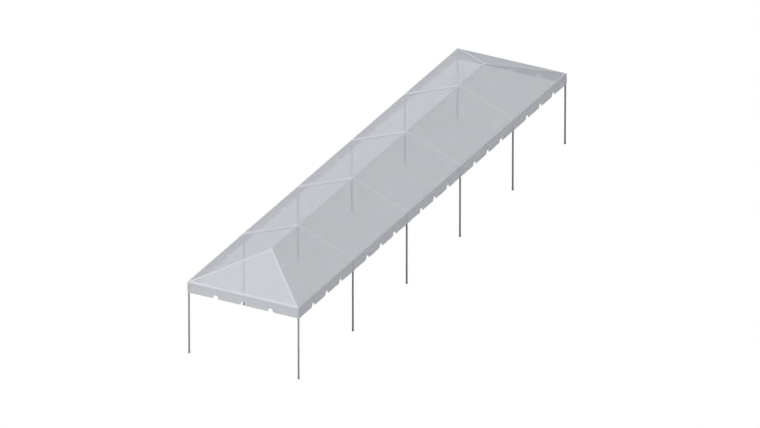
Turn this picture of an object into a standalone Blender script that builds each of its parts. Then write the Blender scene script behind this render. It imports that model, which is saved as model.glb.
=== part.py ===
"""A frame marquee tent: a white vinyl top with hipped ends on a slip-together tube frame.

The frame is twelve legs in two rows, a rail round the eaves, a pair of rafters at each inner pair of legs,
four hip rafters and a ridge. Metres, +Z up, the long way of the tent along Y. The origin is on the ground
under the middle of the tent, and the photographed end faces -Y.
"""

import math

import bmesh
import bpy
from mathutils import Vector

# Driving dimensions of the frame
SPAN = 3.2
BAY = 3.048
BAYS = 5
RAIL_HEIGHT = 2.067
RISE = 0.622
TUBE_RADIUS = 0.0254
NECK_RADIUS = 0.0215
NECK_LENGTH = 0.07
KNUCKLE_RADIUS = 0.0252
APEX_KNUCKLE_RADIUS = 0.024
FOOT_RADIUS = 0.03
FOOT_HEIGHT = 0.045
FOOT_CHAMFER = 0.004

# Driving dimensions of the vinyl top
CLOTH = 0.003
VALANCE_DROP = 0.315
SCALLOPS = 4
NOTCH_MOUTH = 0.165
NOTCH_ROOF = 0.07
NOTCH_HEIGHT = 0.095

# Clearance left between solids that touch, and how finely round shapes are made
GAP = 0.0003
TUBE_SIDES = 16
KNUCKLE_RINGS = 8
SHARP_ANGLE = math.radians(40)

# Worked out from the dimensions above
HALF_SPAN = SPAN / 2
HALF_LENGTH = BAY * BAYS / 2
RIDGE_HEIGHT = RAIL_HEIGHT + RISE
APEX_Y = HALF_LENGTH - HALF_SPAN
PITCH = math.atan2(RISE, HALF_SPAN)
CLOTH_INSIDE = TUBE_RADIUS + GAP
CLOTH_OUTSIDE = CLOTH_INSIDE + CLOTH
NECK_REACH = NECK_LENGTH + GAP
SIDES = {"left": -1, "right": 1}
ENDS = {"front": -1, "rear": 1}
DOWN = Vector((0, 0, -1))


def frame_y(number):
    """Where leg pair number 1 to BAYS + 1 stands along the tent, counted from the front."""
    return -HALF_LENGTH + BAY * (number - 1)


def place_name(number):
    """The word for a leg pair: front and rear at the corners, a number between them."""
    return {1: "front", BAYS + 1: "rear"}.get(number, str(number))


def rafter_direction(side):
    """Unit vector from an eave rail up to the ridge."""
    return Vector((-side * math.cos(PITCH), 0, math.sin(PITCH)))


def hip_direction(side, end):
    """Unit vector from a corner of the eaves up to the ridge's end."""
    return Vector((-side * HALF_SPAN, -end * HALF_SPAN, RISE)).normalized()


def rail_point(side, y):
    return Vector((side * HALF_SPAN, y, RAIL_HEIGHT))


def ridge_point(y):
    return Vector((0, y, RIDGE_HEIGHT))


# The scene, its collections and its materials

def clear_scene():
    for obj in list(bpy.data.objects):
        bpy.data.objects.remove(obj)


def new_collection(name):
    collection = bpy.data.collections.new(name)
    bpy.context.scene.collection.children.link(collection)
    return collection


def new_material(name, colour, roughness, metallic, alpha=1.0):
    material = bpy.data.materials.new(name)
    material.use_nodes = True
    shader = material.node_tree.nodes["Principled BSDF"]
    shader.inputs["Base Color"].default_value = (*colour, 1.0)
    shader.inputs["Roughness"].default_value = roughness
    shader.inputs["Metallic"].default_value = metallic
    shader.inputs["Alpha"].default_value = alpha
    return material


def put_in(obj, collection, material=None):
    """Moves an object into a collection, out of any other, and gives it its material."""
    for old in list(obj.users_collection):
        old.objects.unlink(obj)
    collection.objects.link(obj)
    if material is not None:
        obj.data.materials.clear()
        obj.data.materials.append(material)
    return obj


clear_scene()
tent = new_collection("marquee_tent")
helpers = new_collection("fitting_necks")
aluminium = new_material("aluminium_tube", (0.38, 0.385, 0.395), 0.45, 0.85)
cast_fitting = new_material("cast_fitting", (0.36, 0.37, 0.38), 0.5, 0.8)
vinyl = new_material("white_vinyl", (0.78, 0.79, 0.81), 0.45, 0.0, 0.9)


# Shapes that several pieces are made from

def tube_curve(name, length):
    """A straight tube along its own +Z, which every like tube shares."""
    curve = bpy.data.curves.new(name, "CURVE")
    curve.dimensions = "3D"
    curve.bevel_depth = TUBE_RADIUS
    curve.bevel_resolution = TUBE_SIDES // 2 - 2
    curve.use_fill_caps = True
    line = curve.splines.new("POLY")
    line.points.add(1)
    line.points[0].co = (0, 0, 0, 1)
    line.points[1].co = (0, 0, length, 1)
    curve.materials.append(aluminium)
    return curve


def add_tube(name, curve, start, direction):
    """A tube from a point along a direction."""
    piece = bpy.data.objects.new(name, curve)
    piece.location = start
    piece.rotation_euler = direction.to_track_quat("Z", "Y").to_euler()
    tent.objects.link(piece)


def bar(name, start, end, radius):
    """A straight round bar between two points, as a mesh that other shapes can be joined to."""
    run = end - start
    bpy.ops.mesh.primitive_cylinder_add(
        vertices=TUBE_SIDES,
        radius=radius,
        depth=run.length,
        location=(start + end) / 2,
        rotation=run.to_track_quat("Z", "Y").to_euler(),
    )
    return name_and_smooth(name)


def knuckle(name, centre, radius):
    bpy.ops.mesh.primitive_uv_sphere_add(
        segments=TUBE_SIDES, ring_count=KNUCKLE_RINGS, radius=radius, location=centre
    )
    return name_and_smooth(name)


def name_and_smooth(name):
    """Names the primitive just made, and smooths its round side."""
    obj = bpy.context.object
    obj.name = name
    obj.data.name = name
    obj.data.shade_smooth()
    obj.data.set_sharp_from_angle(angle=SHARP_ANGLE)
    return obj


def join_to(body, piece):
    """Unites a helper shape with a body by a Boolean, and keeps the helper out of the render."""
    put_in(piece, helpers)
    piece.hide_render = True
    piece.display_type = "WIRE"
    union = body.modifiers.new("join_" + piece.name, "BOOLEAN")
    union.operation = "UNION"
    union.solver = "EXACT"
    union.object = piece


def join_neck(body, centre, direction):
    """A short neck on a fitting, which a tube's end slips over."""
    join_to(body, bar(body.name + "_neck", centre, centre + direction * NECK_LENGTH, NECK_RADIUS))


# Legs: each an aluminium tube standing in a foot cap, turned as one profile

def leg_profile():
    top = RAIL_HEIGHT - NECK_REACH
    return [
        (0, top),
        (TUBE_RADIUS, top),
        (TUBE_RADIUS, FOOT_HEIGHT),
        (FOOT_RADIUS, FOOT_HEIGHT),
        (FOOT_RADIUS, FOOT_CHAMFER),
        (FOOT_RADIUS - FOOT_CHAMFER, 0),
        (0, 0),
    ]


def leg_mesh():
    points = leg_profile()
    mesh = bpy.data.meshes.new("leg_profile")
    edges = [(i, i + 1) for i in range(len(points) - 1)]
    mesh.from_pydata([(x, 0, z) for x, z in points], edges, [])
    mesh.materials.append(aluminium)
    return mesh


def add_leg(name, mesh, x, y):
    leg = bpy.data.objects.new(name, mesh)
    leg.location = (x, y, 0)
    tent.objects.link(leg)
    turn = leg.modifiers.new("turn", "SCREW")
    turn.steps = TUBE_SIDES
    turn.render_steps = TUBE_SIDES
    turn.use_merge_vertices = True
    turn.merge_threshold = 0.0001
    turn.use_smooth_shade = True


shared_leg = leg_mesh()
for side_name, side in SIDES.items():
    for number in range(1, BAYS + 2):
        add_leg(f"leg_{place_name(number)}_{side_name}", shared_leg, side * HALF_SPAN, frame_y(number))


# Corner fittings: a round knuckle with four necks, for the leg, two eave rails and the hip rafter

for end_name, end in ENDS.items():
    for side_name, side in SIDES.items():
        corner = rail_point(side, end * HALF_LENGTH)
        fitting = knuckle(f"corner_fitting_{end_name}_{side_name}", corner, KNUCKLE_RADIUS)
        put_in(fitting, tent, cast_fitting)
        for direction in (
            DOWN,
            Vector((-side, 0, 0)),
            Vector((0, -end, 0)),
            hip_direction(side, end),
        ):
            join_neck(fitting, corner, direction)


# Eave beams: along each side the rail runs through a tee at every inner leg, whose necks take leg and rafter

for side_name, side in SIDES.items():
    near = rail_point(side, -HALF_LENGTH + NECK_REACH)
    far = rail_point(side, HALF_LENGTH - NECK_REACH)
    beam = bar(f"eave_beam_{side_name}", near, far, TUBE_RADIUS)
    put_in(beam, tent, aluminium)
    for number in range(2, BAYS + 1):
        tee = rail_point(side, frame_y(number))
        join_neck(beam, tee, DOWN)
        join_neck(beam, tee, rafter_direction(side))


# End rails: one across each end, between two corner fittings

end_rail = tube_curve("end_rail", SPAN - 2 * NECK_REACH)
for end_name, end in ENDS.items():
    start = Vector((-HALF_SPAN + NECK_REACH, end * HALF_LENGTH, RAIL_HEIGHT))
    add_tube(f"eave_rail_{end_name}", end_rail, start, Vector((1, 0, 0)))


# Rafters: a pair at each inner pair of legs, and a hip rafter from each corner to the ridge's end

def add_rafter(name, curve, foot, direction):
    add_tube(name, curve, foot + direction * NECK_REACH, direction)


rafter_run = (ridge_point(0) - rail_point(1, 0)).length
hip_run = (ridge_point(APEX_Y) - rail_point(1, HALF_LENGTH)).length
rafter = tube_curve("rafter", rafter_run - 2 * NECK_REACH)
hip_rafter = tube_curve("hip_rafter", hip_run - 2 * NECK_REACH)
for side_name, side in SIDES.items():
    for number in range(2, BAYS + 1):
        foot = rail_point(side, frame_y(number))
        add_rafter(f"rafter_{number}_{side_name}", rafter, foot, rafter_direction(side))
    for end_name, end in ENDS.items():
        foot = rail_point(side, end * HALF_LENGTH)
        add_rafter(f"hip_rafter_{end_name}_{side_name}", hip_rafter, foot, hip_direction(side, end))


# Ridge: one line of tube through a crown over each pair of rafters, with a knuckle where the hips meet

ridge = bar("ridge_beam", ridge_point(-APEX_Y), ridge_point(APEX_Y), TUBE_RADIUS)
put_in(ridge, tent, aluminium)
for number in range(2, BAYS + 1):
    for side in SIDES.values():
        join_neck(ridge, ridge_point(frame_y(number)), -rafter_direction(side))
for end in ENDS.values():
    apex = ridge_point(end * APEX_Y)
    join_to(ridge, knuckle("apex_knuckle", apex, APEX_KNUCKLE_RADIUS))
    for side in SIDES.values():
        join_neck(ridge, apex, -hip_direction(side, end))


# Vinyl top: four sloping panels that lie on the tubes, meeting along the ridge and the hips

def slope_height(inward):
    """Height of the top's outer face, this far in from the rail's axis."""
    return RAIL_HEIGHT + inward * math.tan(PITCH) + CLOTH_OUTSIDE / math.cos(PITCH)


def add_roof_panel(name, outline):
    """A panel cut to an outline of (x, y, height of its outer face), with upright edges."""
    shape = bmesh.new()
    face = shape.faces.new([shape.verts.new(point) for point in outline])
    under = bmesh.ops.extrude_face_region(shape, geom=[face])
    drop = DOWN * CLOTH / math.cos(PITCH)
    moved = [item for item in under["geom"] if isinstance(item, bmesh.types.BMVert)]
    bmesh.ops.translate(shape, verts=moved, vec=drop)
    bmesh.ops.recalc_face_normals(shape, faces=shape.faces)
    mesh = bpy.data.meshes.new(name)
    shape.to_mesh(mesh)
    shape.free()
    put_in(bpy.data.objects.new(name, mesh), tent, vinyl)


EAVE_HEIGHT = slope_height(-CLOTH_OUTSIDE)
CREST_HEIGHT = slope_height(HALF_SPAN)
OUT_X = HALF_SPAN + CLOTH_OUTSIDE
OUT_Y = HALF_LENGTH + CLOTH_OUTSIDE
for side_name, side in SIDES.items():
    eave = [(side * OUT_X, y * (OUT_Y - GAP), EAVE_HEIGHT) for y in (-1, 1)]
    crest = [(side * GAP, y * APEX_Y, slope_height(HALF_SPAN - GAP)) for y in (1, -1)]
    add_roof_panel(f"roof_panel_{side_name}", eave + crest)
for end_name, end in ENDS.items():
    eave = [(x * OUT_X, end * OUT_Y, EAVE_HEIGHT) for x in (-1, 1)]
    add_roof_panel(f"roof_panel_{end_name}", eave + [(0, end * APEX_Y, CREST_HEIGHT)])


# Valance: a strip hanging outside the rail and legs, with a flared notch between scallops

VALANCE_TOP = EAVE_HEIGHT - CLOTH / math.cos(PITCH) - GAP
VALANCE_FOOT = EAVE_HEIGHT - VALANCE_DROP
VALANCE_MIDDLE = (CLOTH_INSIDE + CLOTH_OUTSIDE) / 2


def notch(centre):
    """Corners of one notch in a valance's lower edge, from low to high along the run."""
    foot = VALANCE_FOOT
    roof = VALANCE_FOOT + NOTCH_HEIGHT
    return [
        (centre - NOTCH_MOUTH / 2, foot),
        (centre - NOTCH_ROOF / 2, roof),
        (centre + NOTCH_ROOF / 2, roof),
        (centre + NOTCH_MOUTH / 2, foot),
    ]


def add_valance(name, half_run, notch_centres, location, turn):
    """An upright strip, drawn flat with its run along x, then stood up and turned about Z."""
    outline = [(-half_run, VALANCE_TOP), (-half_run, VALANCE_FOOT)]
    for centre in notch_centres:
        outline += notch(centre)
    outline += [(half_run, VALANCE_FOOT), (half_run, VALANCE_TOP)]
    curve = bpy.data.curves.new(name, "CURVE")
    curve.dimensions = "2D"
    curve.fill_mode = "BOTH"
    curve.extrude = CLOTH / 2
    line = curve.splines.new("POLY")
    line.points.add(len(outline) - 1)
    for point, (run, height) in zip(line.points, outline):
        point.co = (run, height, 0, 1)
    line.use_cyclic_u = True
    strip = bpy.data.objects.new(name, curve)
    strip.location = location
    strip.rotation_euler = (math.radians(90), 0, math.radians(turn))
    put_in(strip, tent, vinyl)


def notches_along(start, pitch, bays):
    """Notch centres: between scallops, and none where a leg stands."""
    scallops = [(bay, step) for bay in range(bays) for step in range(1, SCALLOPS)]
    return [start + pitch * (bay + step / SCALLOPS) for bay, step in scallops]


for side_name, side in SIDES.items():
    add_valance(
        f"valance_{side_name}",
        OUT_Y,
        notches_along(-HALF_LENGTH, BAY, BAYS),
        (side * (HALF_SPAN + VALANCE_MIDDLE), 0, 0),
        90,
    )
for end_name, end in ENDS.items():
    add_valance(
        f"valance_{end_name}",
        HALF_SPAN + CLOTH_INSIDE - GAP,
        notches_along(-HALF_SPAN, SPAN, 1),
        (0, end * (HALF_LENGTH + VALANCE_MIDDLE), 0),
        0,
    )
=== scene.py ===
import math

import bmesh
import bpy
from mathutils import Matrix, Vector, noise


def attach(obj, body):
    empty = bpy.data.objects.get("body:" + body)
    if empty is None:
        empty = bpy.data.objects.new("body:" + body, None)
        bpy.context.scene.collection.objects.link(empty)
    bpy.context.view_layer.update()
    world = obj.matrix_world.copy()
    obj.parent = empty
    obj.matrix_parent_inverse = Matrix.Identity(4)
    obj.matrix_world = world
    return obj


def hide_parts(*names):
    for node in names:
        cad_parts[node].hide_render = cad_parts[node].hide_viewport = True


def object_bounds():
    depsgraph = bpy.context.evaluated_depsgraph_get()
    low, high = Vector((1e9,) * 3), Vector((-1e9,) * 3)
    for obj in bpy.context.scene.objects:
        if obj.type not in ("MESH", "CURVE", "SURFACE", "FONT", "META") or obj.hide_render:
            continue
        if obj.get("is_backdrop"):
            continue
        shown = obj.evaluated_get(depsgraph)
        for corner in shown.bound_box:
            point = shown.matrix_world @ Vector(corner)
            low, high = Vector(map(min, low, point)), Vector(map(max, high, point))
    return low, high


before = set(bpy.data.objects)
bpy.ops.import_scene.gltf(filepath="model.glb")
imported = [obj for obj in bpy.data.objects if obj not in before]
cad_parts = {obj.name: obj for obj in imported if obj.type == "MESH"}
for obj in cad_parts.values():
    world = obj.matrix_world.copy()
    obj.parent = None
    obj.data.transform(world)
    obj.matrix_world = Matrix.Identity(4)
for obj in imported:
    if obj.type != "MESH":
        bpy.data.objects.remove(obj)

cad_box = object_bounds()


# Legs. Each is a two-inch drawn aluminium tube that stands on the ground in a cast foot cap.
# The cap is pushed on and held by a set screw, and the tube's top slips over a fitting's neck,
# where a sprung pin locks it.

SPAN = 3.2
BAY = 3.048
BAYS = 5
HALF_SPAN = SPAN / 2
HALF_LENGTH = BAY * BAYS / 2
RAIL_HEIGHT = 2.067
TUBE_RADIUS = 0.0254
NECK_REACH = 0.0703
END_ROUNDING = 0.0014
FOOT_RADIUS = 0.03
FOOT_HEIGHT = 0.045
TUBE_IN_CAP = 0.04
SET_SCREW_HEIGHT = 0.034
PIN_INSET = 0.038
TUBE_SIDES = 48
SMOOTH_ANGLE = math.radians(38)
LEG_TOP = RAIL_HEIGHT - NECK_REACH
SIDES = {"left": -1, "right": 1}
ENDS = {"front": -1, "rear": 1}
DOWN = Vector((0, 0, -1))
pin_places = []


def frame_y(number):
    """Where a leg pair stands along the tent. They are numbered from 1, at the front."""
    return -HALF_LENGTH + BAY * (number - 1)


def place_name(number):
    """The word for a leg pair: front and rear at the corners, a number between them."""
    return {1: "front", BAYS + 1: "rear"}.get(number, str(number))


class Wire:
    """A link in a node tree, so that maths on what it carries is written as a plain sum."""

    def __init__(self, tree, socket=None):
        self.tree = tree
        self.socket = socket

    def add(self, kind, settings=None, inputs=None, take=0):
        """Adds a node: its settings go in first, then the values or links of its sockets."""
        node = self.tree.nodes.new(kind)
        for name, value in (settings or {}).items():
            setattr(node, name, value)
        for name, value in (inputs or {}).items():
            if isinstance(value, Wire):
                self.tree.links.new(value.socket, node.inputs[name])
            else:
                node.inputs[name].default_value = value
        return Wire(self.tree, node.outputs[take] if len(node.outputs) else None)

    def maths(self, operation, *others):
        """One Math node, with this value in its first socket."""
        terms = dict(enumerate((self, *others)))
        return self.add("ShaderNodeMath", {"operation": operation}, terms)

    def __add__(self, other):
        return self.maths("ADD", other)

    def __sub__(self, other):
        return self.maths("SUBTRACT", other)

    def __rsub__(self, other):
        return self.add("ShaderNodeMath", {"operation": "SUBTRACT"}, {0: other, 1: self})

    def __mul__(self, other):
        return self.maths("MULTIPLY", other)

    def __truediv__(self, other):
        return self.maths("DIVIDE", other)

    def __pow__(self, other):
        return self.maths("POWER", other)

    def __abs__(self):
        return self.maths("ABSOLUTE")

    __radd__ = __add__
    __rmul__ = __mul__

    def least(self, other):
        return self.maths("MINIMUM", other)

    def most(self, other):
        return self.maths("MAXIMUM", other)

    def ramp(self, low, high, first=0.0, last=1.0, kind="LINEAR"):
        """Runs from first to last as the value goes from low to high, and stays there beyond."""
        return self.add(
            "ShaderNodeMapRange",
            {"interpolation_type": kind, "clamp": True},
            {"Value": self, "From Min": low, "From Max": high, "To Min": first, "To Max": last},
        )

    def scaled(self, factors):
        return self.add("ShaderNodeVectorMath", {"operation": "MULTIPLY"}, {0: self, 1: factors})

    def part(self, axis):
        """One coordinate, X, Y or Z, of the vector that this wire carries."""
        return self.add("ShaderNodeSeparateXYZ", {}, {0: self}, take=axis)

    def grain(self, scale, detail=3.0, roughness=0.5):
        """Soft random variation about one half, read at this vector."""
        sizes = {"Vector": self, "Scale": scale, "Detail": detail, "Roughness": roughness}
        return self.add("ShaderNodeTexNoise", {}, sizes)

    def tint(self, first, last):
        """A colour between two others, as the value goes from nought to one."""
        return self.add(
            "ShaderNodeMix",
            {"data_type": "RGBA", "clamp_factor": True},
            {0: self, 6: first, 7: last},
            take=2,
        )

    def bump(self, strength, distance):
        """The way the surface faces, where this value is its height."""
        sizes = {"Strength": strength, "Distance": distance, "Height": self}
        return self.add("ShaderNodeBump", {}, sizes)


def new_finish(name):
    """An empty material, and a wire to start its nodes from."""
    material = bpy.data.materials.new(name)
    material.use_nodes = True
    material.node_tree.nodes.clear()
    return material, Wire(material.node_tree)


def paint(start, bump, **values):
    """Ends a finish: one Principled shader with these values, and its bump."""
    inputs = {"Normal": bump}
    for name, value in values.items():
        inputs[name.replace("_", " ").title().replace("Ior", "IOR")] = value
    shader = start.add("ShaderNodeBsdfPrincipled", {}, inputs)
    start.add("ShaderNodeOutputMaterial", {}, {"Surface": shader})


def tube_finish():
    """Drawn aluminium: fine lines along it, cloudy oxide, scratches, and scuffs low on the legs."""
    material, start = new_finish("drawn_aluminium")
    along = start.add("ShaderNodeAttribute", {"attribute_name": "along_tube"}, take="Vector")
    place = start.add("ShaderNodeTexCoord", take="Object")
    lines = along.scaled((900, 900, 5)).grain(1.0, 3.0, 0.6)
    cloud = place.grain(7.0, 4.0, 0.6)
    scratch = along.scaled((160, 160, 900)).grain(0.35, 2.0, 0.5).ramp(0.66, 0.72)
    low_down = place.part("Z").ramp(0.05, 0.8, 0.5, 0.03)
    scuffs = place.grain(38.0, 4.0, 0.6).ramp(0.5, 0.72) * low_down
    clean = cloud.ramp(0.3, 0.7).tint((0.37, 0.375, 0.385, 1), (0.405, 0.41, 0.42, 1))
    worn = scuffs.tint(clean, (0.30, 0.295, 0.287, 1))
    paint(
        start,
        (lines + scratch * 0.6).bump(0.25, 0.0001),
        base_color=(scratch * 0.6).tint(worn, (0.48, 0.485, 0.49, 1)),
        metallic=0.2,
        roughness=0.46 + cloud * 0.12 + scuffs * 0.15,
    )
    return material


def foot_finish():
    """A cast foot cap: grainy, as grey as the tube, and dusty where it meets the ground."""
    material, start = new_finish("foot_casting")
    place = start.add("ShaderNodeTexCoord", take="Object")
    grain = place.grain(420.0, 3.0, 0.6)
    cloud = place.grain(45.0, 4.0, 0.6)
    dust = cloud.ramp(0.35, 0.65) * place.part("Z").ramp(0.0, 0.03, 0.8, 0.1)
    metal = cloud.tint((0.35, 0.355, 0.362, 1), (0.41, 0.415, 0.42, 1))
    paint(
        start,
        (grain + cloud).bump(0.5, 0.0004),
        base_color=dust.tint(metal, (0.47, 0.45, 0.42, 1)),
        metallic=0.3,
        roughness=0.5 + grain * 0.25,
    )
    return material


def new_shape():
    """An empty shape whose points can say where they lie along and round a tube."""
    shape = bmesh.new()
    shape.verts.layers.float_vector.new("along_tube")
    return shape


def turn_profile(shape, profile, start, direction, finish=0):
    """Turns a profile of (distance along, radius) about a line. It starts and ends on the line."""
    along = shape.verts.layers.float_vector["along_tube"]
    turn = direction.to_track_quat("Z", "Y").to_matrix()
    rings = []
    for distance, radius in profile:
        ring = []
        for step in range(TUBE_SIDES if radius > 0 else 1):
            angle = math.tau * step / TUBE_SIDES
            local = Vector((radius * math.cos(angle), radius * math.sin(angle), distance))
            vertex = shape.verts.new(start + turn @ local)
            vertex[along] = local
            ring.append(vertex)
        rings.append(ring)
    for low, high in zip(rings, rings[1:]):
        for step in range(TUBE_SIDES):
            corners = [
                low[step % len(low)],
                low[(step + 1) % len(low)],
                high[(step + 1) % len(high)],
                high[step % len(high)],
            ]
            face = shape.faces.new(list(dict.fromkeys(corners)))
            face.smooth = True
            face.material_index = finish


def rounded_bar(low, high, radius, rounding=END_ROUNDING):
    """Profile of a round bar between two distances, with its rims rounded over."""
    nip = rounding * 0.3
    return [
        (low, 0),
        (low, radius - rounding),
        (low + nip, radius - nip),
        (low + rounding, radius),
        (high - rounding, radius),
        (high - nip, radius - nip),
        (high, radius - rounding),
        (high, 0),
    ]


def make_piece(name, shape, *finishes):
    """Makes a shape an object at the origin, with its finishes in their order."""
    mesh = bpy.data.meshes.new(name)
    shape.to_mesh(mesh)
    shape.free()
    mesh.set_sharp_from_angle(angle=SMOOTH_ANGLE)
    for finish in finishes:
        mesh.materials.append(finish)
    piece = bpy.data.objects.new(name, mesh)
    bpy.context.scene.collection.objects.link(piece)
    return piece


def stand_for(piece, slot, *nodes):
    """The piece rides on the tent's one body and takes the place of these nodes."""
    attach(piece, "root")
    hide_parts(*nodes)


def foot_profile():
    """Foot cap from the ground up: a rounded base, a groove, a rim, then the tube's foot."""
    return [
        (0, 0),
        (0, 0.024),
        (0.0008, 0.0268),
        (0.003, 0.0291),
        (0.006, FOOT_RADIUS),
        (0.026, FOOT_RADIUS),
        (0.0268, 0.0292),
        (0.0282, 0.0292),
        (0.029, FOOT_RADIUS),
        (0.041, FOOT_RADIUS),
        (0.0436, 0.0294),
        (FOOT_HEIGHT, 0.0278),
        (FOOT_HEIGHT, 0),
    ]


aluminium = tube_finish()
foot_casting = foot_finish()
for side_name, side in SIDES.items():
    for number in range(1, BAYS + 2):
        leg_name = f"{place_name(number)}_{side_name}"
        foot = Vector((side * HALF_SPAN, frame_y(number), 0))
        leg_shape = new_shape()
        turn_profile(leg_shape, foot_profile(), foot, -DOWN, 1)
        turn_profile(leg_shape, rounded_bar(TUBE_IN_CAP, LEG_TOP, TUBE_RADIUS), foot, -DOWN)
        leg = make_piece(f"leg_tube_{leg_name}", leg_shape, aluminium, foot_casting)
        stand_for(leg, "aluminium_tube", f"leg_{leg_name}")
        inward = Vector((-side, 0, 0))
        pin_places.append((foot - DOWN * (LEG_TOP - PIN_INSET), inward, TUBE_RADIUS))
        pin_places.append((foot - DOWN * SET_SCREW_HEIGHT, inward, FOOT_RADIUS))


# Corner fittings. Each is one aluminium casting: a knuckle with four arms, for the leg, the two
# eave rails and the hip rafter. Every arm ends in a shoulder that the tube's end stands against,
# and the casting's inside corners are left soft.

RISE = 0.622
PITCH = math.atan2(RISE, HALF_SPAN)
ARM_RADIUS = 0.0226
ARM_REACH = NECK_REACH - 0.004
KNUCKLE_RADIUS = 0.0246
KNUCKLE_STEPS = 12
SHOULDER_RADIUS = 0.0251
SHOULDER_ROUNDING = 0.0024
SHOULDER_START = NECK_REACH - 0.012
SHOULDER_END = NECK_REACH - 0.0006
CAST_GRAIN = 0.0024


def rail_point(side, y):
    return Vector((side * HALF_SPAN, y, RAIL_HEIGHT))


def hip_direction(side, end):
    """Unit vector from a corner of the eaves up to the ridge's end."""
    return Vector((-side * HALF_SPAN, -end * HALF_SPAN, RISE)).normalized()


def rafter_direction(side):
    """Unit vector from an eave rail up to the ridge."""
    return Vector((-side * math.cos(PITCH), 0, math.sin(PITCH)))


def cast_finish():
    """Sand-cast aluminium: a fine grain, a mottled grey, and polish where tubes have rubbed."""
    material, start = new_finish("cast_aluminium")
    place = start.add("ShaderNodeTexCoord", take="Object")
    grain = place.grain(480.0, 3.0, 0.65)
    mottle = place.grain(60.0, 4.0, 0.6)
    rubbed = place.grain(110.0, 2.0, 0.5).ramp(0.6, 0.7)
    metal = mottle.ramp(0.3, 0.7).tint((0.31, 0.315, 0.325, 1), (0.41, 0.415, 0.42, 1))
    paint(
        start,
        (grain + mottle * 0.8).bump(0.55, 0.0004),
        base_color=rubbed.tint(metal, (0.52, 0.525, 0.53, 1)),
        metallic=0.4,
        roughness=0.56 - rubbed * 0.16 + grain * 0.1,
    )
    return material


def melt_together(rough):
    """Turns overlapping bars into one skin with soft inside corners, as a casting has."""
    mesh = bpy.data.meshes.new("rough_casting")
    rough.to_mesh(mesh)
    rough.free()
    carrier = bpy.data.objects.new("rough_casting", mesh)
    bpy.context.scene.collection.objects.link(carrier)
    melt = carrier.modifiers.new("melt", "REMESH")
    melt.mode = "VOXEL"
    melt.voxel_size = CAST_GRAIN
    soften = carrier.modifiers.new("soften", "SMOOTH")
    soften.factor = 0.6
    soften.iterations = 4
    depsgraph = bpy.context.evaluated_depsgraph_get()
    skin = bpy.data.meshes.new_from_object(carrier.evaluated_get(depsgraph))
    bpy.data.objects.remove(carrier)
    return skin


def add_casting(shape, centre, arms, finish):
    """Adds a knuckle with an arm along each direction, and the shoulder at each arm's end."""
    rough = new_shape()
    knuckle = [(-KNUCKLE_RADIUS, 0)]
    for step in range(1, KNUCKLE_STEPS):
        angle = math.pi * step / KNUCKLE_STEPS
        knuckle.append((-KNUCKLE_RADIUS * math.cos(angle), KNUCKLE_RADIUS * math.sin(angle)))
    knuckle.append((KNUCKLE_RADIUS, 0))
    turn_profile(rough, knuckle, centre, -DOWN)
    for arm in arms:
        turn_profile(rough, rounded_bar(0, ARM_REACH, ARM_RADIUS), centre, arm)
    skin = melt_together(rough)
    before = len(shape.faces)
    shape.from_mesh(skin)
    shape.faces.ensure_lookup_table()
    for face in shape.faces[before:]:
        face.smooth = True
        face.material_index = finish
    bpy.data.meshes.remove(skin)
    shoulder = rounded_bar(SHOULDER_START, SHOULDER_END, SHOULDER_RADIUS, SHOULDER_ROUNDING)
    for arm in arms:
        turn_profile(shape, shoulder, centre, arm, finish)


casting = cast_finish()
for end_name, end in ENDS.items():
    for side_name, side in SIDES.items():
        corner = rail_point(side, end * HALF_LENGTH)
        corner_arms = [
            DOWN,
            Vector((-side, 0, 0)),
            Vector((0, -end, 0)),
            hip_direction(side, end),
        ]
        corner_shape = new_shape()
        add_casting(corner_shape, corner, corner_arms, 0)
        fitting = make_piece(f"corner_casting_{end_name}_{side_name}", corner_shape, casting)
        stand_for(fitting, "cast_fitting", f"corner_fitting_{end_name}_{side_name}")


# Eave beams. Along each side five lengths of the same tube run between the corners, joined at
# every inner leg by a cast tee, whose other two arms take the leg and the rafter.

PIN_DIP = 0.6


def add_tube(shape, start, end, pin_side):
    """A tube between two points with a lock pin near each end, on the side given."""
    direction = (end - start).normalized()
    length = (end - start).length
    turn_profile(shape, rounded_bar(0, length, TUBE_RADIUS), start, direction)
    across = (pin_side - direction * pin_side.dot(direction)).normalized()
    pin_places.append((start + direction * PIN_INSET, across, TUBE_RADIUS))
    pin_places.append((end - direction * PIN_INSET, across, TUBE_RADIUS))


for side_name, side in SIDES.items():
    beam_shape = new_shape()
    for number in range(1, BAYS + 1):
        near = rail_point(side, frame_y(number) + NECK_REACH)
        far = rail_point(side, frame_y(number + 1) - NECK_REACH)
        add_tube(beam_shape, near, far, Vector((-side, 0, -PIN_DIP)))
    for number in range(2, BAYS + 1):
        tee = rail_point(side, frame_y(number))
        tee_arms = [Vector((0, 1, 0)), Vector((0, -1, 0)), DOWN, rafter_direction(side)]
        add_casting(beam_shape, tee, tee_arms, 1)
    beam = make_piece(f"eave_tubes_{side_name}", beam_shape, aluminium, casting)
    stand_for(beam, "aluminium_tube", f"eave_beam_{side_name}")


# End rails. One tube crosses each end between two corner fittings, slipped over their arms and
# pinned, and it carries the front or the rear edge of the cover.

for end_name, end in ENDS.items():
    rail_shape = new_shape()
    rail_start = Vector((-HALF_SPAN + NECK_REACH, end * HALF_LENGTH, RAIL_HEIGHT))
    rail_end = Vector((HALF_SPAN - NECK_REACH, end * HALF_LENGTH, RAIL_HEIGHT))
    add_tube(rail_shape, rail_start, rail_end, Vector((0, -end, -PIN_DIP)))
    rail = make_piece(f"end_rail_{end_name}", rail_shape, aluminium)
    stand_for(rail, "aluminium_tube", f"eave_rail_{end_name}")


# Rafters. A pair of tubes leans from the eave tees to a crown on the ridge at each inner pair of
# legs, and four hip rafters lean from the corners to the ridge's ends. All are pinned from below.

RIDGE_HEIGHT = RAIL_HEIGHT + RISE
APEX_Y = HALF_LENGTH - HALF_SPAN


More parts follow.
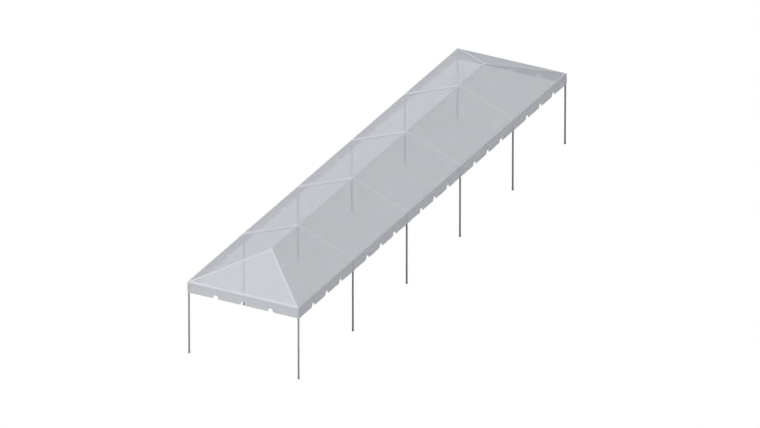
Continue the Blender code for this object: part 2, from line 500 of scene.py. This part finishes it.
def ridge_point(y):
    return Vector((0, y, RIDGE_HEIGHT))


def make_rafter(piece_name, node, low, high):
    run = (high - low).normalized()
    shape = new_shape()
    add_tube(shape, low + run * NECK_REACH, high - run * NECK_REACH, DOWN)
    stand_for(make_piece(piece_name, shape, aluminium), "aluminium_tube", node)


for side_name, side in SIDES.items():
    for number in range(2, BAYS + 1):
        row = frame_y(number)
        rafter_name = f"{number}_{side_name}"
        make_rafter(
            f"rafter_tube_{rafter_name}",
            f"rafter_{rafter_name}",
            rail_point(side, row),
            ridge_point(row),
        )
    for end_name, end in ENDS.items():
        hip_name = f"{end_name}_{side_name}"
        make_rafter(
            f"hip_tube_{hip_name}",
            f"hip_rafter_{hip_name}",
            rail_point(side, end * HALF_LENGTH),
            ridge_point(end * APEX_Y),
        )


# Ridge. Five lengths of tube in one line, joined by a cast crown over each pair of rafters, and
# closed at each end by an apex casting that takes the two hip rafters.

ridge_stops = [-APEX_Y] + [frame_y(n) for n in range(2, BAYS + 1)] + [APEX_Y]
ridge_shape = new_shape()
for near_y, far_y in zip(ridge_stops, ridge_stops[1:]):
    add_tube(ridge_shape, ridge_point(near_y + NECK_REACH), ridge_point(far_y - NECK_REACH), DOWN)
for crown_y in ridge_stops[1:-1]:
    crown_arms = [
        Vector((0, 1, 0)),
        Vector((0, -1, 0)),
        -rafter_direction(-1),
        -rafter_direction(1),
    ]
    add_casting(ridge_shape, ridge_point(crown_y), crown_arms, 1)
for end in ENDS.values():
    apex_arms = [Vector((0, -end, 0)), -hip_direction(-1, end), -hip_direction(1, end)]
    add_casting(ridge_shape, ridge_point(end * APEX_Y), apex_arms, 1)
ridge = make_piece("ridge_tubes", ridge_shape, aluminium, casting)
stand_for(ridge, "aluminium_tube", "ridge_beam")


# Lock pins. A sprung steel button stands out of a hole near every tube end, and a set screw with
# the same low head holds each foot cap. All are alike: a domed head in a thin rim.

PIN_HEAD = 0.0046
PIN_HEIGHT = 0.0022
PIN_RIM = 0.0064
PIN_RIM_DEPTH = 0.0014


def pin_finish():
    """Plated steel, bright on the crown of the head and dull in the scratches."""
    material, start = new_finish("plated_pin")
    place = start.add("ShaderNodeTexCoord", take="Object")
    scratch = place.grain(1200.0, 3.0, 0.7)
    stain = place.grain(70.0, 3.0, 0.6).ramp(0.4, 0.65)
    paint(
        start,
        scratch.bump(0.3, 0.0001),
        base_color=stain.tint((0.5, 0.5, 0.51, 1), (0.3, 0.29, 0.27, 1)),
        metallic=0.8,
        roughness=0.28 + scratch * 0.25,
    )
    return material


def new_rule(name, sizes):
    """An empty Geometry Nodes tree with a named input for each size, and a wire to each."""
    rule = bpy.data.node_groups.new(name, "GeometryNodeTree")
    rule.interface.new_socket("Shape", in_out="OUTPUT", socket_type="NodeSocketGeometry")
    rule.interface.new_socket("Start", in_out="INPUT", socket_type="NodeSocketGeometry")
    for size in sizes:
        rule.interface.new_socket(size, in_out="INPUT", socket_type="NodeSocketFloat")
    given = rule.nodes.new("NodeGroupInput")
    return Wire(rule), {s.name: Wire(rule, s) for s in given.outputs if s.name}


def end_rule(start, shape, finish):
    """Ends a tree: real mesh, its finish, and the group's output."""
    real = start.add("GeometryNodeRealizeInstances", {}, {0: shape})
    dressed = start.add("GeometryNodeSetMaterial", {}, {"Geometry": real, "Material": finish})
    start.add("NodeGroupOutput", {}, {0: dressed})


def follow_rule(name, start, seed_mesh, sizes, thickness=0.0):
    """Runs a tree on a mesh at these sizes, and keeps the result as a plain mesh."""
    piece = bpy.data.objects.new(name, seed_mesh)
    bpy.context.scene.collection.objects.link(piece)
    rule = piece.modifiers.new("rule", "NODES")
    rule.node_group = start.tree
    for socket in start.tree.interface.items_tree:
        if socket.name in sizes and socket.in_out == "INPUT":
            rule[socket.identifier] = float(sizes[socket.name])
    if thickness:
        wall = piece.modifiers.new("wall", "SOLIDIFY")
        wall.thickness = thickness
        wall.offset = 0
    depsgraph = bpy.context.evaluated_depsgraph_get()
    made = bpy.data.meshes.new_from_object(piece.evaluated_get(depsgraph))
    piece.modifiers.clear()
    piece.data = made
    made.name = name
    made.set_sharp_from_angle(angle=SMOOTH_ANGLE)
    return piece


pin_rule, pin_size = new_rule("pin_rule", ["Head Radius", "Head Height", "Rim Radius"])
dome = pin_rule.add(
    "GeometryNodeMeshUVSphere", {}, {"Segments": 12, "Rings": 6, "Radius": pin_size["Head Radius"]}
)
dome_scale = pin_rule.add(
    "ShaderNodeCombineXYZ",
    {},
    {"X": 1.0, "Y": 1.0, "Z": pin_size["Head Height"] / pin_size["Head Radius"]},
)
low_dome = pin_rule.add("GeometryNodeTransform", {}, {"Geometry": dome, "Scale": dome_scale})
rim = pin_rule.add(
    "GeometryNodeMeshCylinder",
    {},
    {"Vertices": 16, "Radius": pin_size["Rim Radius"], "Depth": PIN_RIM_DEPTH},
)
one_pin = pin_rule.add("GeometryNodeJoinGeometry")
pin_join = one_pin.socket.node
for part in (low_dome, rim):
    pin_rule.tree.links.new(part.socket, pin_join.inputs[0])
outward = pin_rule.add(
    "GeometryNodeInputNamedAttribute",
    {"data_type": "FLOAT_VECTOR"},
    {"Name": "outward"},
)
facing = pin_rule.add("FunctionNodeAlignRotationToVector", {"axis": "Z"}, {"Vector": outward})
smooth_pin = pin_rule.add("GeometryNodeSetShadeSmooth", {}, {"Geometry": one_pin})
pins_set = pin_rule.add(
    "GeometryNodeInstanceOnPoints",
    {},
    {"Points": pin_size["Start"], "Instance": smooth_pin, "Rotation": facing},
)
end_rule(pin_rule, pins_set, pin_finish())

pin_points = bpy.data.meshes.new("pin_points")
pin_points.from_pydata([place + side * radius for place, side, radius in pin_places], [], [])
pin_points.attributes.new("outward", "FLOAT_VECTOR", "POINT").data.foreach_set(
    "vector", [value for place, side, radius in pin_places for value in side]
)
pins = follow_rule(
    "lock_pins",
    pin_rule,
    pin_points,
    {"Head Radius": PIN_HEAD, "Head Height": PIN_HEIGHT, "Rim Radius": PIN_RIM},
)
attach(pins, "root")


# Roof cover. One coated vinyl top is cut in panels and welded into a single skin, doubled over
# every rafter and along the ridge, the hips and the eaves. It is pulled tight over the frame,
# sags a little in each bay, and turns down over the eave rails.

COVER_THICKNESS = 0.0008
COVER_RADIUS = 0.0272
COVER_CELLS = 32
LONGEST_CELL = 0.085
LINES_BY_SEAM = (0.012, 0.026, 0.045, 0.075)
MERGE_DISTANCE = 0.00005
NEAR_HIP = 0.01
ON_FOLD = 0.0001
PAST_APEX = 0.001
TURN_ANGLES = (50, 33, 16, 0)
CREASE_WIDTH = 0.0095
BAY_SAG = 0.009
HIP_SAG = 0.006
SAG_REACH = 0.34
COVER_RIPPLE = 0.0022
SEAM_CREST = 0.0004
CREST_WIDTH = 0.028
CREST_REACH = 0.1
SKIRT_DROP = 0.036
SEAM_HALF_WIDTH = 0.085
RIDGE_HALF_BAND = 0.05
HIP_BAND = 0.07
EAVE_BAND = 0.016
BAND_EDGE = 0.003
SCRIM_PITCH = 0.0022
SINGLE_ALPHA = 0.655
DOUBLED_ALPHA = 0.985


def vinyl_colours(place, cloud, whiteness=1.0):
    """White vinyl a little blue, faintly clouded and dusty, as one colour."""

    # whiteness above one paints light into the colour, as on the valances
    def shade(*colour):
        return (*(part * whiteness for part in colour), 1)

    dust = place.grain(2.3, 5.0, 0.6).ramp(0.45, 0.8)
    clean = cloud.tint(shade(0.655, 0.68, 0.725), shade(0.695, 0.72, 0.77))
    return (dust * 0.3).tint(clean, shade(0.60, 0.605, 0.61))


def scrim(place):
    """The threads that show through the coating, as a height: crossed ribs on all three axes."""
    threads = place.scaled((math.tau / SCRIM_PITCH,) * 3)
    ribs = [threads.part(axis).maths("SINE") for axis in "XYZ"]
    return ribs[0] + ribs[1] + ribs[2]


def band(distance, width):
    """One up to this distance and nought beyond it, with a soft edge."""
    return distance.ramp(width - BAND_EDGE, width + BAND_EDGE, 1.0, 0.0)


def cover_finish():
    """The roof's vinyl: slightly see-through, denser where doubled, and painted whiter on most
    joins as a highlight.
    """
    material, start = new_finish("roof_vinyl")
    place = start.add("ShaderNodeTexCoord", take="Object")
    x = place.part("X")
    y = place.part("Y")
    across = HALF_SPAN - abs(x)
    along = HALF_LENGTH - abs(y)
    on_side = (along - across).ramp(-0.004, 0.004)
    from_frame = (y + HALF_LENGTH).maths("PINGPONG", BAY / 2)
    past_end_legs = along.ramp(1.0, 1.1)
    seam = band(from_frame, SEAM_HALF_WIDTH) * on_side * past_end_legs
    from_hip = (along - across) * math.sqrt(0.5)
    hip = band(abs(from_hip + HIP_BAND / 2), HIP_BAND / 2)
    eave = band(across.least(along), EAVE_BAND)
    ridge_band = band(abs(x), RIDGE_HALF_BAND)
    # the seams, hips and eaves: doubled vinyl, which also carries a painted highlight
    joins_and_painted_highlight = seam.most(hip).most(eave)
    doubled = joins_and_painted_highlight.most(ridge_band * on_side)
    weld_line = doubled * (1 - doubled) * 4.0
    cloud = place.grain(1.1, 4.0, 0.55)
    creases = place.scaled((1.0, 0.5, 1.0)).grain(5.0, 3.0, 0.5)
    height = scrim(place) * 0.06 + creases * 1.4 + doubled * 0.25 - weld_line * 0.3
    paint(
        start,
        height.bump(0.5, 0.001),
        # the joins' whiter colour is a painted highlight along the seams, hips and eaves, and not
        # on the ridge
        base_color=joins_and_painted_highlight.tint(vinyl_colours(place, cloud), (0.712, 0.735, 0.777, 1)),
        roughness=0.5 + cloud * 0.12 - weld_line * 0.1,
        specular_ior_level=0.15,
        alpha=SINGLE_ALPHA + doubled * (DOUBLED_ALPHA - SINGLE_ALPHA),
    )
    return material


def eased(distance, reach=SAG_REACH):
    """Nought on a support, and one well away from it."""
    return 1 - math.exp(-distance / reach)


def cover_height(x, y):
    """Height of the cover's outer face over a point of the plan."""
    across = HALF_SPAN - abs(x)
    along = HALF_LENGTH - abs(y)
    inward = min(across, along)
    height = RAIL_HEIGHT + inward * math.tan(PITCH) + COVER_RADIUS / math.cos(PITCH)
    from_hip = abs(across - along) * math.sqrt(0.5)
    loose = eased(max(inward, 0)) * eased(from_hip)
    if across < along:
        from_frame = min(abs(y - frame_y(n)) for n in range(2, BAYS + 1))
        loose *= eased(from_frame) * eased(abs(x))
        crest = SEAM_CREST * math.exp(-(from_frame / CREST_WIDTH) ** 2)
        height += crest * eased(max(inward, 0), CREST_REACH)
        height -= BAY_SAG * loose
    else:
        height -= HIP_SAG * loose
    ripple = noise.noise(Vector((x * 1.9, y * 1.5, 3.1)))
    ripple += 0.5 * noise.noise(Vector((x * 4, y * 3, 9)))
    return height + COVER_RIPPLE * ripple * loose


def cover_stations():
    """Where the cover's grid lines cross the plan: along x, and along y, finer at each seam."""
    edge = HALF_SPAN + COVER_RADIUS * math.sin(PITCH)
    steps = [edge * i / COVER_CELLS for i in range(COVER_CELLS + 1)]
    across = [-s for s in reversed(steps)] + steps[1:]
    middle = []
    for low, high in zip(ridge_stops, ridge_stops[1:]):
        nears = [low] + [low + d for d in LINES_BY_SEAM]
        fars = [high - d for d in reversed(LINES_BY_SEAM)]
        span = fars[0] - nears[-1]
        count = math.ceil(span / LONGEST_CELL)
        middle += nears + [nears[-1] + span * i / count for i in range(1, count)] + fars
    middle.append(APEX_Y)
    ends = [APEX_Y + s for s in steps[1:]]
    return across, [-s for s in reversed(ends)] + middle + ends


def cover_shape():
    """The four slopes as one skin, folded along the hips, before its creases are rounded."""
    shape = bmesh.new()
    columns, rows = cover_stations()
    grid = [[shape.verts.new((x, y, cover_height(x, y))) for x in columns] for y in rows]
    for low, high in zip(grid, grid[1:]):
        for i in range(len(columns) - 1):
            corners = [low[i], low[i + 1], high[i + 1], high[i]]
            middle = sum((c.co for c in corners), Vector()) / 4
            along = HALF_LENGTH - abs(middle.y)
            across = HALF_SPAN - abs(middle.x)
            if abs(along - across) > NEAR_HIP:
                shape.faces.new(corners)
            elif middle.x * middle.y > 0:
                shape.faces.new([corners[0], corners[1], corners[2]])
                shape.faces.new([corners[0], corners[2], corners[3]])
            else:
                shape.faces.new([corners[0], corners[1], corners[3]])
                shape.faces.new([corners[1], corners[2], corners[3]])
    return shape


def on_crease(edge):
    """Whether an edge lies along the ridge or a hip."""
    a, b = (v.co for v in edge.verts)
    if abs(a.x) + abs(b.x) < ON_FOLD:
        return max(abs(a.y), abs(b.y)) < APEX_Y + PAST_APEX
    gaps = [abs((HALF_LENGTH - abs(p.y)) - (HALF_SPAN - abs(p.x))) for p in (a, b)]
    return max(gaps) < ON_FOLD


def turn_down(shape):
    """Turns the cover's rim down over the eave rail, and round the corner legs."""
    rim = [edge for edge in shape.edges if edge.is_boundary]
    angles = [math.radians(a) for a in TURN_ANGLES]
    heights = [RAIL_HEIGHT + COVER_RADIUS * math.sin(a) for a in angles]
    reaches = [COVER_RADIUS * math.cos(a) for a in angles]
    heights += [RAIL_HEIGHT - SKIRT_DROP / 2, RAIL_HEIGHT - SKIRT_DROP]
    reaches += [COVER_RADIUS, COVER_RADIUS]
    for height, reach in zip(heights, reaches):
        made = bmesh.ops.extrude_edge_only(shape, edges=rim)["geom"]
        for vertex in (item for item in made if isinstance(item, bmesh.types.BMVert)):
            x, y = abs(vertex.co.x), abs(vertex.co.y)
            out = Vector((max(x - HALF_SPAN, 0), max(y - HALF_LENGTH, 0))).normalized() * reach
            vertex.co.x = math.copysign(min(x, HALF_SPAN) + out.x, vertex.co.x)
            vertex.co.y = math.copysign(min(y, HALF_LENGTH) + out.y, vertex.co.y)
            vertex.co.z = height
        rim = [item for item in made if isinstance(item, bmesh.types.BMEdge)]
        rim = [edge for edge in rim if edge.is_boundary]


cover_skin = cover_shape()
bmesh.ops.bevel(
    cover_skin,
    geom=[edge for edge in cover_skin.edges if on_crease(edge)],
    offset=CREASE_WIDTH,
    offset_type="OFFSET",
    segments=4,
    profile=0.5,
    affect="EDGES",
)
turn_down(cover_skin)
bmesh.ops.remove_doubles(cover_skin, verts=cover_skin.verts, dist=MERGE_DISTANCE)
bmesh.ops.recalc_face_normals(cover_skin, faces=cover_skin.faces)
for face in cover_skin.faces:
    face.smooth = True
cover = make_piece("roof_cover", cover_skin, cover_finish())
cover_wall = cover.modifiers.new("wall", "SOLIDIFY")
cover_wall.thickness = COVER_THICKNESS
cover_wall.offset = -1
stand_for(cover, "white_vinyl", *(f"roof_panel_{name}" for name in (*SIDES, *ENDS)))


# Valances. A strip of the same vinyl hangs from the cover's turned-down edge on each side, with a
# flared notch between its scallops and none at a leg. Its lower edge is bound with a folded tape
# that is sewn on in two rows, and the strip ripples a little as it hangs.

VALANCE_TOP = 2.0665
VALANCE_FOOT = 1.7711
VALANCE_REACH = 0.0282
SCALLOPS = 4
NOTCH_MOUTH = 0.165
NOTCH_ROOF = 0.07
NOTCH_HEIGHT = 0.095
ROOF_CELLS = 2
FLARE_CELLS = 10
SCALLOP_CELLS = 12
STRIP_ROWS = 12
RIPPLE = 0.006
RIPPLE_SEED_STEP = 7.3
# the valances are the roof's vinyl made whiter: painted light, not a different colour
VALANCE_PAINTED_LIGHT = 1.06
VALANCE_ALPHA = 0.78
TAPE_ROWS = 2
TAPE_HEIGHT = 0.018
TAPE_THICKNESS = 0.0022
TAPE_OVERHANG = 0.0006
TAPE_RIB_PITCH = 0.0016
STITCH_PITCH = 0.0052
STITCH_ROWS = (0.0045, 0.0145)


def valance_finish():
    """The valance's vinyl, denser than the roof's and made a little whiter as painted light: a weld
    along its top, faint upright creases.
    """
    material, start = new_finish("valance_vinyl")
    place = start.add("ShaderNodeTexCoord", take="Object")
    weld = place.part("Z").ramp(VALANCE_TOP - 0.032, VALANCE_TOP - 0.028)
    cloud = place.grain(1.7, 4.0, 0.55)
    creases = place.scaled((3.0, 3.0, 0.7)).grain(2.2, 3.0, 0.5)
    height = scrim(place) * 0.06 + creases * 1.6 + weld * 0.7
    # the same vinyl colours, whitened as painted light
    white = vinyl_colours(place, cloud, VALANCE_PAINTED_LIGHT)
    paint(
        start,
        height.bump(0.5, 0.001),
        base_color=(weld * 0.6).tint(white, (0.72, 0.743, 0.785, 1)),
        roughness=0.5 + cloud * 0.12,
        specular_ior_level=0.15,
        alpha=VALANCE_ALPHA + weld * (DOUBLED_ALPHA - VALANCE_ALPHA),
    )
    return material


def tape_finish():
    """Woven edge tape: close ribs across it, and two rows of stitches along it."""
    material, start = new_finish("edge_tape")
    place = start.add("ShaderNodeTexCoord", take="Object")
    run = start.add("ShaderNodeAttribute", {"attribute_name": "run"}, take="Fac")
    above = start.add("ShaderNodeAttribute", {"attribute_name": "above_edge"}, take="Fac")
    ribs = (run * (math.tau / TAPE_RIB_PITCH)).maths("SINE")
    dash = (run * (math.tau / STITCH_PITCH)).maths("SINE").ramp(-0.5, -0.1)
    rows = [abs(above - height).ramp(0.0005, 0.001, 1.0, 0.0) for height in STITCH_ROWS]
    stitch = dash * rows[0].most(rows[1])
    cloud = place.grain(6.0, 3.0, 0.5)
    tape = cloud.tint((0.64, 0.66, 0.70, 1), (0.70, 0.72, 0.755, 1))
    paint(
        start,
        (ribs * 0.25 + stitch * 1.2).bump(0.7, 0.0006),
        base_color=stitch.tint(tape, (0.80, 0.80, 0.79, 1)),
        roughness=0.62 + cloud * 0.1,
    )
    return material


valance_sizes = [
    "Half Run",
    "Corner Reach",
    "Scallop Pitch",
    "Scallop Count",
    "Rows",
    "Top",
    "Foot",
    "Strip Height",
    "Stand Off",
    "Notch Mouth",
    "Notch Roof",
    "Notch Height",
    "Ripple",
    "Ripple Seed",
]


def valance_rule(name, finish):
    """The rule for a valance or its tape: where the notches come, how high, and the ripple.

    The strip height is measured up from the lower edge. Where it passes the top, it ends there.
    """
    start, size = new_rule(name, valance_sizes)
    half = ROOF_CELLS + FLARE_CELLS + SCALLOP_CELLS
    cells = size["Scallop Count"] * (2 * half)
    beyond = cells + 2 * ROOF_CELLS
    grid = start.add(
        "GeometryNodeMeshGrid",
        {},
        {
            "Size X": beyond,
            "Size Y": 1.0,
            "Vertices X": beyond + 1,
            "Vertices Y": size["Rows"] + 1,
        },
    )
    place = start.add("GeometryNodeInputPosition")
    station = place.part("X") + cells / 2
    number = (station / (2 * half)).maths("ROUND")
    off = station - number * (2 * half)
    steps = abs(off)
    flare_end = ROOF_CELLS + FLARE_CELLS
    flare_width = (size["Notch Mouth"] - size["Notch Roof"]) / 2
    reach = (
        steps.ramp(0, ROOF_CELLS, 0, size["Notch Roof"] / 2)
        + steps.ramp(ROOF_CELLS, flare_end, 0, flare_width)
        + steps.ramp(flare_end, half, 0, (size["Scallop Pitch"] - size["Notch Mouth"]) / 2)
    )
    run = number * size["Scallop Pitch"] - size["Half Run"] + off.maths("SIGN") * reach
    run = run.least(size["Half Run"] + size["Corner Reach"])
    run = run.most(-1 * (size["Half Run"] + size["Corner Reach"]))
    between_legs = number.maths("MODULO", SCALLOPS).least(1.0)
    opened = steps.ramp(ROOF_CELLS, flare_end, 1.0, 0.0, "SMOOTHSTEP") * between_legs
    low = size["Foot"] + opened * size["Notch Height"]
    # the flare is a smoothstep, whose slope is six times t (1 - t)
    flared = steps.ramp(ROOF_CELLS, flare_end)
    slope = flared * (1 - flared) * between_legs * size["Notch Height"] * 6 / flare_width
    lean = (slope * slope + 1) ** 0.5
    roof = size["Foot"] + size["Notch Height"]
    strip_top = (low + size["Strip Height"] * lean).least(size["Strip Height"] + roof)
    above = (place.part("Y") + 0.5) * (strip_top.least(size["Top"]) - low)
    height = low + above
    from_edge = (above / lean).most(height - roof)
    hang = (size["Top"] - height) / (size["Top"] - size["Foot"])
    half_bay = size["Scallop Pitch"] * (SCALLOPS / 2)
    from_leg = (run + size["Half Run"]).maths("PINGPONG", half_bay)
    folds = start.add(
        "ShaderNodeCombineXYZ", {}, {"X": run, "Y": size["Ripple Seed"], "Z": height * 0.8}
    ).grain(2.6, 2.0, 0.45)
    free = hang.most(0.0) ** 1.3 * from_leg.ramp(0.04, 0.3, 0.0, 1.0, "SMOOTHSTEP")
    out = size["Stand Off"] + (folds - 0.5) * 4.0 * free * size["Ripple"]
    point = start.add("ShaderNodeCombineXYZ", {}, {"X": run, "Y": -1 * out, "Z": height})
    for label, value in (("run", run), ("above_edge", from_edge)):
        grid = start.add(
            "GeometryNodeStoreNamedAttribute",
            {"data_type": "FLOAT", "domain": "POINT"},
            {"Geometry": grid, "Name": label, "Value": value},
        )
    moved = start.add("GeometryNodeSetPosition", {}, {"Geometry": grid, "Position": point})
    smooth = start.add("GeometryNodeSetShadeSmooth", {}, {"Geometry": moved})
    end_rule(start, smooth, finish)
    return start


strip_rule = valance_rule("valance_rule", valance_finish())
tape_rule = valance_rule("edge_tape_rule", tape_finish())
# each side: half its run, its scallops' width and number, how far out it hangs, and its turn
strip_runs = [
    ("left", HALF_LENGTH, BAY / SCALLOPS, BAYS * SCALLOPS, HALF_SPAN, -90),
    ("right", HALF_LENGTH, BAY / SCALLOPS, BAYS * SCALLOPS, HALF_SPAN, 90),
    ("front", HALF_SPAN, SPAN / SCALLOPS, SCALLOPS, HALF_LENGTH, 0),
    ("rear", HALF_SPAN, SPAN / SCALLOPS, SCALLOPS, HALF_LENGTH, 180),
]
for seed, (where, half_run, pitch, count, distance, turned) in enumerate(strip_runs):
    sizes = {
        "Half Run": half_run,
        "Corner Reach": VALANCE_REACH,
        "Scallop Pitch": pitch,
        "Scallop Count": count,
        "Rows": STRIP_ROWS,
        "Top": VALANCE_TOP,
        "Foot": VALANCE_FOOT,
        "Strip Height": 1.0,
        "Stand Off": distance + VALANCE_REACH,
        "Notch Mouth": NOTCH_MOUTH,
        "Notch Roof": NOTCH_ROOF,
        "Notch Height": NOTCH_HEIGHT,
        "Ripple": RIPPLE,
        "Ripple Seed": RIPPLE_SEED_STEP * (seed + 1),
    }
    tape_sizes = {
        **sizes,
        "Rows": TAPE_ROWS,
        "Strip Height": TAPE_HEIGHT,
        "Foot": VALANCE_FOOT - TAPE_OVERHANG,
    }
    strip = follow_rule(
        f"valance_strip_{where}",
        strip_rule,
        bpy.data.meshes.new(f"valance_seed_{where}"),
        sizes,
        COVER_THICKNESS,
    )
    tape = follow_rule(
        f"valance_tape_{where}",
        tape_rule,
        bpy.data.meshes.new(f"tape_seed_{where}"),
        tape_sizes,
        TAPE_THICKNESS,
    )
    for piece in (strip, tape):
        piece.data.transform(Matrix.Rotation(math.radians(turned), 4, "Z"))
        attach(piece, "root")
    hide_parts(f"valance_{where}")
    drop = VALANCE_TOP - VALANCE_FOOT
    length = 2 * (half_run + VALANCE_REACH)
    notches = count - count // SCALLOPS
    cut_out = notches * NOTCH_HEIGHT * (NOTCH_MOUTH + NOTCH_ROOF) / 2
    drop * length - cut_out


# Floor. The tent stands on a plain white studio floor, so evenly lit that no edge or shadow
# shows. It isn't part of the tent.

FLOOR_SIZE = 60
FLOOR_DROP = 0.001


def white_paper():
    """A white that glows evenly, whatever light falls on it."""
    material, start = new_finish("studio_white")
    glow = start.add("ShaderNodeEmission", {}, {"Color": (1, 1, 1, 1), "Strength": 1.0})
    start.add("ShaderNodeOutputMaterial", {}, {"Surface": glow})
    return material


floor_shape = bmesh.new()
bmesh.ops.create_grid(floor_shape, x_segments=2, y_segments=2, size=FLOOR_SIZE)
floor_shape.transform(Matrix.Translation((0, 0, -FLOOR_DROP)))
floor = make_piece("studio_floor", floor_shape, white_paper())
floor.visible_diffuse = False
floor.visible_glossy = False
floor.visible_transmission = False
floor.visible_shadow = False
floor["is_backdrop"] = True


# Light. A soft key from high in front, one from low behind, fills from below the sides as off a
# pale floor, and an even studio light all round, against a white background.

world = bpy.data.worlds.new("studio_air")
world.use_nodes = True
world.node_tree.nodes.clear()
air = Wire(world.node_tree)
soft = air.add("ShaderNodeBackground", {}, {"Color": (1, 1, 1, 1), "Strength": 0.12})
white = air.add("ShaderNodeBackground", {}, {"Color": (1, 1, 1, 1), "Strength": 1.0})
seen = air.add("ShaderNodeLightPath", take="Is Camera Ray")
mixed = air.add("ShaderNodeMixShader", {}, {0: seen, 1: soft, 2: white})
air.add("ShaderNodeOutputWorld", {}, {"Surface": mixed})
bpy.context.scene.world = world


def add_light(name, towards, strength, softness, glints=True):
    """A broad light a long way off, which shines from the direction given."""
    light = bpy.data.lights.new(name, "SUN")
    light.energy = strength * math.pi
    light.angle = math.radians(softness)
    lamp = bpy.data.objects.new(name, light)
    lamp.rotation_mode = "QUATERNION"
    lamp.rotation_quaternion = Vector(towards).to_track_quat("Z", "Y")
    lamp.visible_glossy = glints
    bpy.context.scene.collection.objects.link(lamp)


add_light("key", (-0.2256, -0.64, 0.634), 0.929, 25)
add_light("back_light", (0, 0.9962, 0.0872), 0.95, 20, glints=False)
add_light("fill_right", (0.9226, 0, -0.3857), 0.414, 20)
add_light("fill_left", (-0.9226, 0, -0.3857), 0.2, 20)


# Camera. It looks at the front end from the right and from above, from far away, so that the far
# end is hardly smaller than the near one.

CAMERA_DISTANCE = 500
AZIMUTH = math.radians(27.371)
ELEVATION = math.radians(26.897)
PIXELS_PER_METRE = 38.152
IMAGE_WIDTH = 760
SENSOR_WIDTH = 36
AIM_RIGHT = 0.0229
AIM_UP = 0.8707

back = Vector(
    (
        math.sin(AZIMUTH) * math.cos(ELEVATION),
        -math.cos(AZIMUTH) * math.cos(ELEVATION),
        math.sin(ELEVATION),
    )
)
right = Vector((math.cos(AZIMUTH), math.sin(AZIMUTH), 0))
up = back.cross(right)
aim = right * AIM_RIGHT + up * AIM_UP
camera_data = bpy.data.cameras.new("camera")
camera_data.sensor_width = SENSOR_WIDTH
camera_data.lens = SENSOR_WIDTH * PIXELS_PER_METRE * CAMERA_DISTANCE / IMAGE_WIDTH
camera_data.clip_start = 1
camera_data.clip_end = 10000
camera = bpy.data.objects.new("camera", camera_data)
camera.rotation_mode = "QUATERNION"
camera.rotation_quaternion = Matrix((right, up, back)).transposed().to_quaternion()
camera.location = aim + back * CAMERA_DISTANCE
bpy.context.scene.collection.objects.link(camera)
bpy.context.scene.camera = camera
bpy.context.scene.view_settings.view_transform = "Standard"


# Size. The solids' box and the finished tent's box, in metres.

seen_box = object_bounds()
boxes = {"cad": cad_box, "visual": seen_box}
{k: [list(corner) for corner in box] for k, box in boxes.items()}
